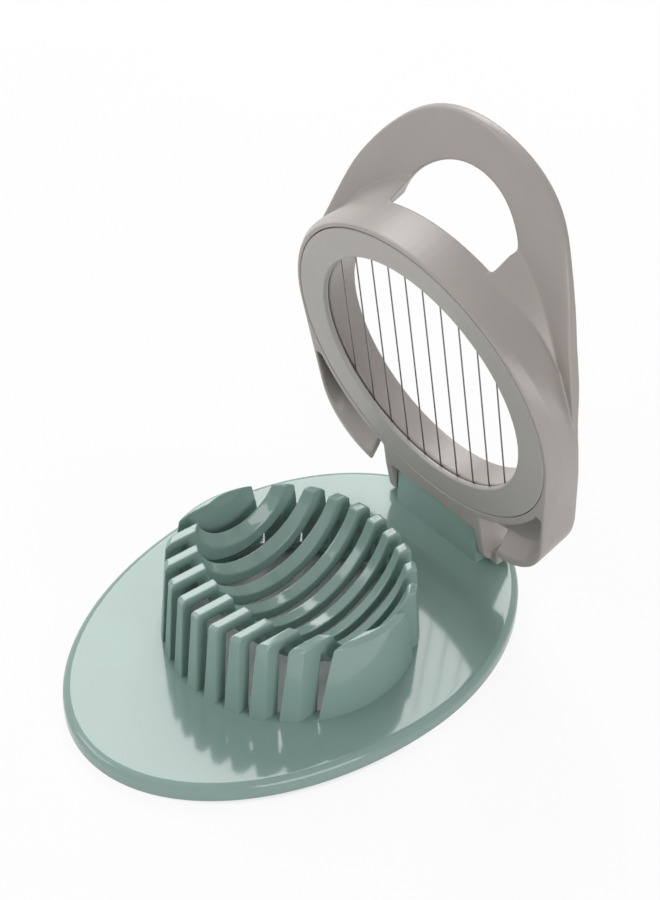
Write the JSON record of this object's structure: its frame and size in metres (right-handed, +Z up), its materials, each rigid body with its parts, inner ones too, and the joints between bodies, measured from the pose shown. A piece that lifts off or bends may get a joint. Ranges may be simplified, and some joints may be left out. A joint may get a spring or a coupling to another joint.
{
  "type": "egg slicer",
  "caption": "Hinged egg slicer: oval tray with a ribbed cup for one egg, and a lid with a bow handle and an oval ring strung with cutting wires.",
  "frame": {"origin": "centre of the tray on the table", "axes": "+X along the hinge, +Y from the cup toward the hinge, +Z up"},
  "size_m": [0.0868, 0.115, 0.1184],
  "materials": {
    "tray_plastic": "glossy blue-green moulded plastic",
    "lid_plastic": "warm grey moulded plastic, half gloss",
    "ring_plastic": "cool grey moulded plastic, satin",
    "steel": "drawn stainless steel"
  },
  "bodies": {
    "tray": {"base_plate": "tray_plastic", "hinge_block": "tray_plastic", "hinge_pin": "steel", "rib_1": "tray_plastic", "rib_2": "tray_plastic", "rib_3": "tray_plastic", "rib_4": "tray_plastic", "rib_5": "tray_plastic", "rib_6": "tray_plastic", "rib_7": "tray_plastic", "rib_8": "tray_plastic", "rib_9": "tray_plastic", "end_block_left": "tray_plastic", "end_block_right": "tray_plastic"},
    "lid": {"lid_shell": "lid_plastic", "retainer_ring": "ring_plastic", "wire_01": "steel", "wire_02": "steel", "wire_03": "steel", "wire_04": "steel", "wire_05": "steel", "wire_06": "steel", "wire_07": "steel", "wire_08": "steel", "wire_09": "steel", "wire_10": "steel"}
  },
  "joints": [
    {"name": "lid_hinge", "type": "hinge", "parent": "tray", "child": "lid", "pos_m": [0, 0.0486, 0.0099], "axis": [1, 0, 0], "range_deg": [0, 81.6]}
  ]
}
